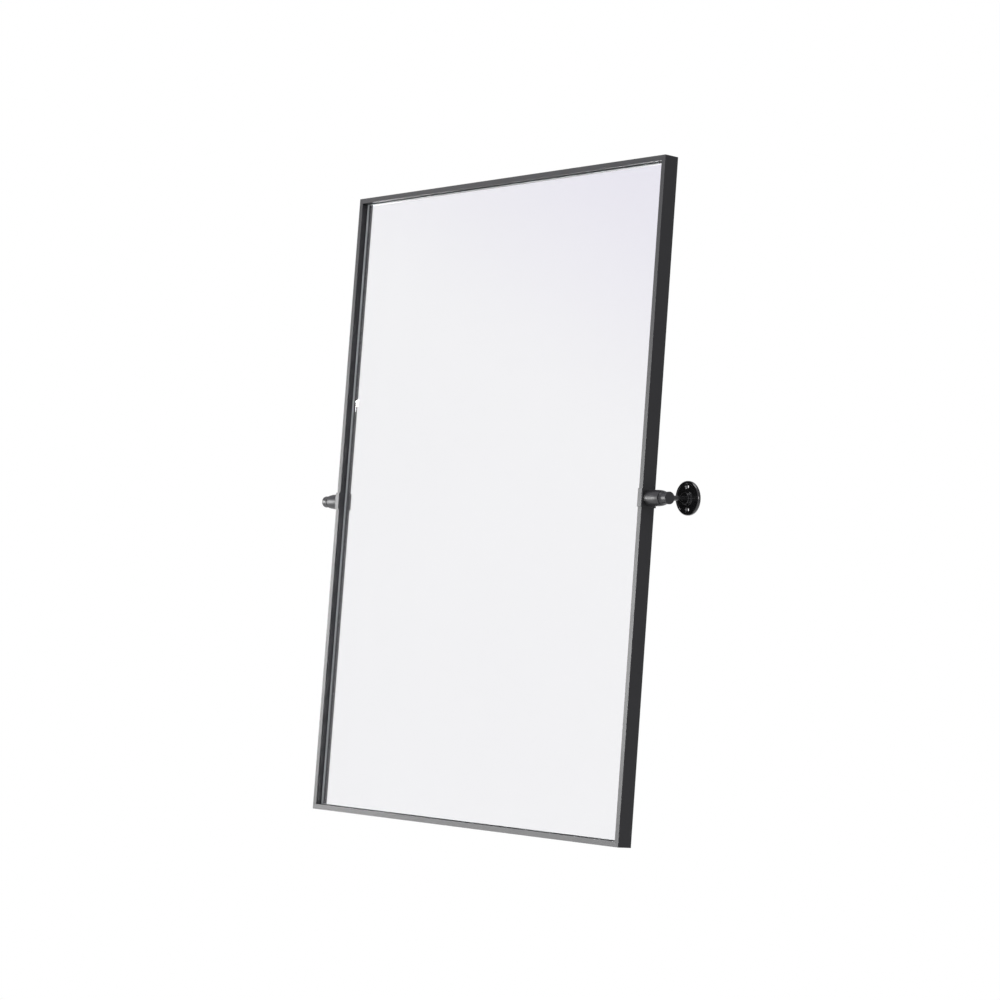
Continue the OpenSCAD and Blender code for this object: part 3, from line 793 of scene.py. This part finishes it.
def rosetteProfile():
    size = rosette
    rim, thick = size["rimMm"], size["thickMm"]
    dish, rimInside = thick - size["dishMm"], rim - size["rimWideMm"]
    return fillet([
        (0, 0, 0),
        (0, rim, size["backRoundMm"]),
        (thick - size["bevelMm"], rim, size["rimRoundMm"]),
        (thick, rim - size["bevelMm"], size["faceRoundMm"]),
        (thick, rimInside, size["dishRoundMm"]),
        (dish, rimInside - size["dishMm"], size["dishRoundMm"]),
        (dish, size["stepMm"], size["stepRootMm"]),
        (size["stepHighMm"], size["stepMm"], size["stepRoundMm"]),
        (size["stepHighMm"], size["hubMm"], size["hubRootMm"]),
        (size["hubHighMm"], size["hubMm"], size["hubRoundMm"]),
        (size["hubHighMm"], size["boreMm"], size["mouthRoundMm"]),
        (size["boreFloorMm"], size["boreMm"], 0),
        (size["boreFloorMm"], 0, 0),
    ])


def wallScrewCutter(name, centre, height):
    # A countersunk hole: bore, cone and a mouth that clears the dished face
    dish, clear = rosette["thickMm"] - rosette["dishMm"], lathe["clearMm"]
    hole, sink = rosette["holeMm"] / 2, rosette["sinkMm"] / 2
    profile = [(-clear, 0), (-clear, hole), (dish - (sink - hole), hole), (dish, sink),
               (dish + clear, sink + clear), (dish + clear, 0)]
    place = Matrix.Translation(Vector((centre, 0, pivot.z + height * mm))) @ outOfWall
    return turned(name, profile, place, facets=48)


coat, lacquer = finishes["bracket_powder_coat"], finishes["rosette_gloss_black"]
for side in sides:
    low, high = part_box(side + "_wall_rosette")
    centre = (low[0] + high[0]) / 2
    postPlace = Matrix.Translation(Vector((centre, 0, pivot.z))) @ outOfWall

    barrel = turned(side + "_head_turned", headProfile(side), alongX[side], coat)
    socketStart = -pivot.y / mm - head["socketBehindMm"]
    socketEnd = -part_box(side + "_bracket_post")[0][1] / mm + head["socketSpareMm"]
    drill(barrel, cylinderCutter(side + "_socket", head["socketMm"] / 2, socketStart, socketEnd, postPlace))
    handOver(barrel, "wall_brackets", "bracket_powder_coat", side + "_bracket_head")

    grip = turned(side + "_knob_turned", knobProfile(side), alongX[side], coat)
    handOver(grip, side + "_knob", "bracket_powder_coat", side + "_clamp_knob")

    rod = turned(side + "_post_turned", postProfile(side), postPlace, lacquer, facets=64)
    handOver(rod, "wall_brackets", "rosette_gloss_black", side + "_bracket_post")

    plate = turned(side + "_rosette_spun", rosetteProfile(), postPlace, lacquer, facets=128)
    hubMiddle = (rosette["stepHighMm"] + rosette["hubHighMm"]) / 2
    setPlace = Matrix.Translation(Vector((centre, -hubMiddle * mm, pivot.z)))
    drill(plate,
          wallScrewCutter(side + "_upperHole", centre, rosette["screwSpacingMm"] / 2),
          wallScrewCutter(side + "_lowerHole", centre, -rosette["screwSpacingMm"] / 2),
          cylinderCutter(side + "_setHole", rosette["setScrewMm"] / 2, *rosette["setHoleMm"], setPlace))
    handOver(plate, "wall_brackets", "rosette_gloss_black", side + "_wall_rosette")
print("brackets: heads, knobs, posts and rosettes")


backingScrew = {"node": "backing_screws", "headMm": 6.0, "headHighMm": 1.8, "shankMm": 3.0, "hexMm": 2.6}
keyScrew = {"node": "corner_key_screws", "headMm": 6.0, "headHighMm": 1.6, "shankMm": 3.0, "hexMm": 2.6}
buttonHead = {
    "sideShare": 0.35, "crownShare": 0.55, "socketShare": 0.4,  # of the head's height, radius and height
    "seatRoundMm": 0.15, "sideRoundMm": 0.5, "crownRoundMm": 0.8, "tipRoundMm": 0.4,
    "seed": 7,                                                  # of the angle each is driven to
}


def looseParts(nodeName):
    # The boxes of a node's separate solids, in the mirror's own frame
    bm = mergedSkin(nodeName)
    back = leaning.inverted()
    waiting = set(bm.verts)
    boxes = []
    while waiting:
        queue = [waiting.pop()]
        found = list(queue)
        while queue:
            for edge in queue.pop().link_edges:
                for v in edge.verts:
                    if v in waiting:
                        waiting.remove(v)
                        queue.append(v)
                        found.append(v)
        places = [back @ v.co for v in found]
        low = Vector([min(p[i] for p in places) for i in range(3)])
        high = Vector([max(p[i] for p in places) for i in range(3)])
        boxes.append((low, high))
    bm.free()
    return sorted(boxes, key=lambda b: (round(b[0].z, 4), round(b[0].x, 4)))


def oneScrew(values, lengthMm):
    # A button head with a hexagon socket, its seat at z = 0
    name = values["node"] + "_one"
    top, rim, shank = values["headHighMm"], values["headMm"] / 2, values["shankMm"] / 2
    profile = fillet([
        (-lengthMm, 0, 0), (-lengthMm, shank, buttonHead["tipRoundMm"]), (0, shank, 0),
        (0, rim, buttonHead["seatRoundMm"]), (top * buttonHead["sideShare"], rim, buttonHead["sideRoundMm"]),
        (top, rim * buttonHead["crownShare"], buttonHead["crownRoundMm"]), (top, 0, 0),
    ])
    screw = turned(name, profile, Matrix.Identity(4), finishes["plated_steel"], facets=40)
    floor, mouth, hexagon = top * buttonHead["socketShare"], top + lathe["clearMm"], values["hexMm"] / 2
    drill(screw, turned(name + "Socket", [(floor, 0), (floor, hexagon), (mouth, hexagon), (mouth, 0)],
                        Matrix.Identity(4), facets=6))
    return screw


def seatedScrewsTree():
    # One screw at each point, leaning with the mirror, each driven to its own angle
    tree = bpy.data.node_groups.new("seatedScrews", "GeometryNodeTree")
    tree.interface.new_socket("Seats", in_out="INPUT", socket_type="NodeSocketGeometry")
    tree.interface.new_socket("Screw", in_out="INPUT", socket_type="NodeSocketObject")
    tree.interface.new_socket("Lean", in_out="INPUT", socket_type="NodeSocketFloat")
    tree.interface.new_socket("Seed", in_out="INPUT", socket_type="NodeSocketInt")
    tree.interface.new_socket("Finish", in_out="INPUT", socket_type="NodeSocketMaterial")
    tree.interface.new_socket("Screws", in_out="OUTPUT", socket_type="NodeSocketGeometry")
    given = addNode(tree, "NodeGroupInput")
    one = addNode(tree, "GeometryNodeObjectInfo", {"Object": given.outputs["Screw"]})
    face = addNode(tree, "ShaderNodeCombineXYZ", {"X": given.outputs["Lean"]})
    seated = addNode(tree, "GeometryNodeInstanceOnPoints",
                     {"Points": given.outputs["Seats"], "Instance": one.outputs["Geometry"],
                      "Rotation": face.outputs["Vector"]})
    driven = addNode(tree, "FunctionNodeRandomValue",
                     {"Min": (0, 0, 0), "Max": (0, 0, math.tau), "Seed": given.outputs["Seed"]},
                     data_type="FLOAT_VECTOR")
    spun = addNode(tree, "GeometryNodeRotateInstances",
                   {"Instances": seated.outputs["Instances"], "Rotation": driven.outputs["Value"],
                    "Local Space": True})
    real = addNode(tree, "GeometryNodeRealizeInstances", {"Geometry": spun.outputs["Instances"]})
    coated = addNode(tree, "GeometryNodeSetMaterial",
                     {"Geometry": real.outputs["Geometry"], "Material": given.outputs["Finish"]})
    addNode(tree, "NodeGroupOutput", {"Screws": coated.outputs["Geometry"]})
    return tree


screwsTree = seatedScrewsTree()


def seatScrews(pieceName, values):
    parts = looseParts(values["node"])
    length = (parts[0][1].y - parts[0][0].y) / mm - values["headHighMm"]
    one = oneScrew(values, length)
    headHigh = values["headHighMm"] * mm
    spots = [leaning @ Vector(((low.x + high.x) / 2, high.y - headHigh, (low.z + high.z) / 2))
             for low, high in parts]
    seats = bpy.data.meshes.new(pieceName)
    seats.from_pydata(spots, [], [])
    piece = link(bpy.data.objects.new(pieceName, seats))
    modifier = piece.modifiers.new("seatedScrews", "NODES")
    modifier.node_group = screwsTree
    facingRear = math.radians(-90 - leanDeg)
    setInputs(modifier, {"Screw": one, "Lean": facingRear, "Seed": buttonHead["seed"],
                         "Finish": finishes["plated_steel"]})
    bakeModifiers(piece)
    bpy.data.objects.remove(one)
    handOver(piece, "mirror", "plated_steel", values["node"])


seatScrews("backing_screws_seated", backingScrew)
seatScrews("key_screws_seated", keyScrew)
print("screws: backing screws and key screws")
